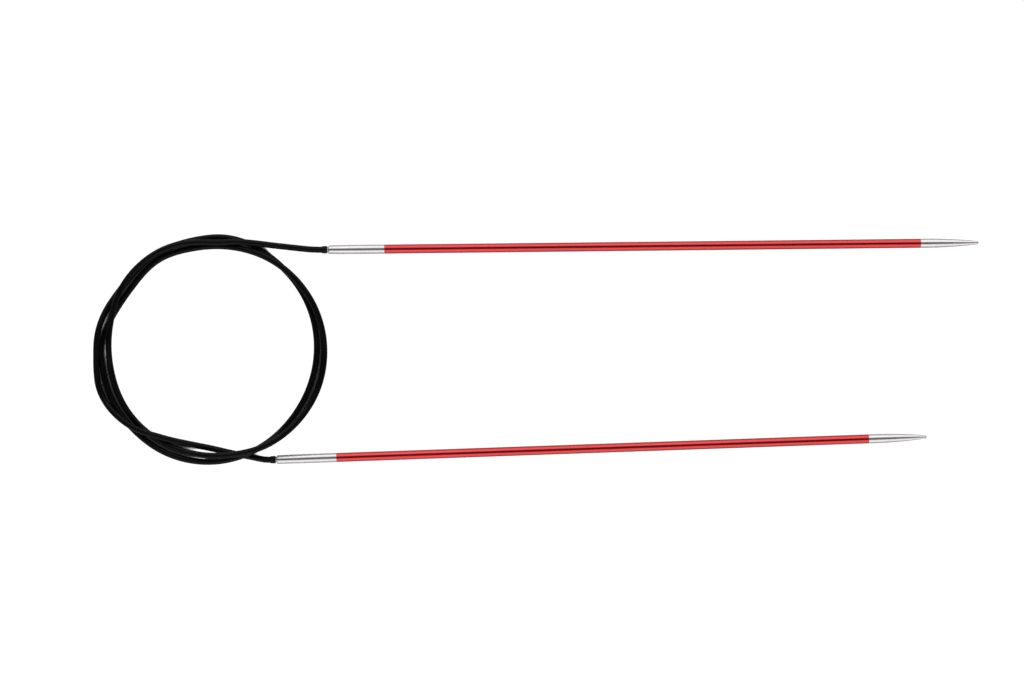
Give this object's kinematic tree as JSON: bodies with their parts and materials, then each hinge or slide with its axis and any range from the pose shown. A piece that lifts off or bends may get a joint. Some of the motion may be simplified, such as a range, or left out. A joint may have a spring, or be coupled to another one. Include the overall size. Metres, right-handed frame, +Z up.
{
  "type": "circular knitting needle",
  "caption": "Fixed circular knitting needle: slim hollow red needles with tapered silver points and silver swivel joins, linked by a coiled black cable.",
  "frame": {"origin": "on the floor below the centre of the box around the needles with their barrels, pins and collars; the free cable isn't counted", "axes": "+X along the needles, from the cable's coil towards the points; +Y across, from needle B to needle A; +Z up from the floor they lie on"},
  "size_m": [0.1699, 0.0446, 0.002],
  "materials": {
    "anodised_red": "red anodised, satin gloss",
    "bare_aluminium": "turned and polished",
    "steel_pin": "turned",
    "black_cable": "smooth extruded nylon",
    "black_collar": "fine matt"
  },
  "bodies": {
    "cable": {"cable_coil": "black_cable", "cable_lead_a": "black_cable", "cable_lead_b": "black_cable"},
    "collar_a": {"cable_end_a": "black_cable", "cable_collar_a": "black_collar", "swivel_pin_a": "steel_pin"},
    "needle_a": {"join_barrel_a": "bare_aluminium", "needle_shaft_a": "anodised_red", "needle_tip_a": "bare_aluminium"},
    "collar_b": {"cable_end_b": "black_cable", "cable_collar_b": "black_collar", "swivel_pin_b": "steel_pin"},
    "needle_b": {"join_barrel_b": "bare_aluminium", "needle_shaft_b": "anodised_red", "needle_tip_b": "bare_aluminium"}
  },
  "joints": [
    {"name": "flex_a", "type": "hinge", "parent": "cable", "child": "collar_a", "pos_m": [-0.06498, 0.02006, 0.00098], "axis": [0, 0, 1], "range_deg": [-7, 45], "stiffness_Nm_per_rad": 0.015},
    {"name": "swivel_a", "type": "hinge", "parent": "collar_a", "child": "needle_a", "pos_m": [-0.05659, 0.01953, 0.00088], "axis": [0.9999, 0.0108, 0], "continuous": true},
    {"name": "flex_b", "type": "hinge", "parent": "cable", "child": "collar_b", "pos_m": [-0.0704, -0.02062, 0.00076], "axis": [0, 0, 1], "range_deg": [-45, 7], "stiffness_Nm_per_rad": 0.015},
    {"name": "swivel_b", "type": "hinge", "parent": "collar_b", "child": "needle_b", "pos_m": [-0.06649, -0.02082, 0.00088], "axis": [0.9994, 0.0349, 0], "continuous": true}
  ]
}
